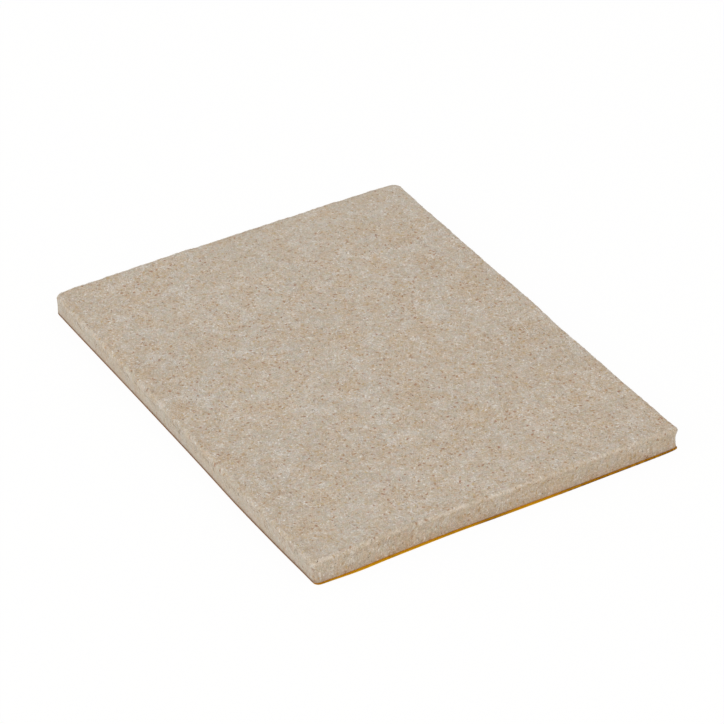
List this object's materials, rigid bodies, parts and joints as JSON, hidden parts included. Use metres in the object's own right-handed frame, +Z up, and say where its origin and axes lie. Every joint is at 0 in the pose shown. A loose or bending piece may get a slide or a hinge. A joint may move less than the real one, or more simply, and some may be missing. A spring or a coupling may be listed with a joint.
{
  "type": "felt furniture pad",
  "caption": "Rectangular self-adhesive felt glide pad on its release liner; the liner peels off and the pad sticks under a furniture leg so that it slides without scratching.",
  "frame": {"origin": "centre of the release liner's underside, the face that the part lies on", "axes": "+Z up, out of the felt's gliding face; +Y along the length, away from the liner's lip; +X along the width"},
  "size_m": [0.08, 0.1006, 0.0052],
  "materials": {
    "felt": "needle-punched felt, heathered beige with cream, tan and dark brown fibres",
    "adhesive": "clear amber pressure-sensitive adhesive, glossy",
    "tissue": "thin fibrous tissue soaked with adhesive",
    "liner_paper": "yellow siliconised glassine paper with a low sheen"
  },
  "bodies": {
    "liner": {"release_liner": "liner_paper"},
    "pad": {"base_side_adhesive": "adhesive", "tissue_carrier": "tissue", "felt_side_adhesive": "adhesive", "felt_pad": "felt"}
  },
  "joints": [
    {"name": "pad_peel", "type": "hinge", "parent": "liner", "child": "pad", "pos_m": [0, 0.05028, 0.0001], "axis": [-1, 0, 0], "range_deg": [0, 80]}
  ]
}
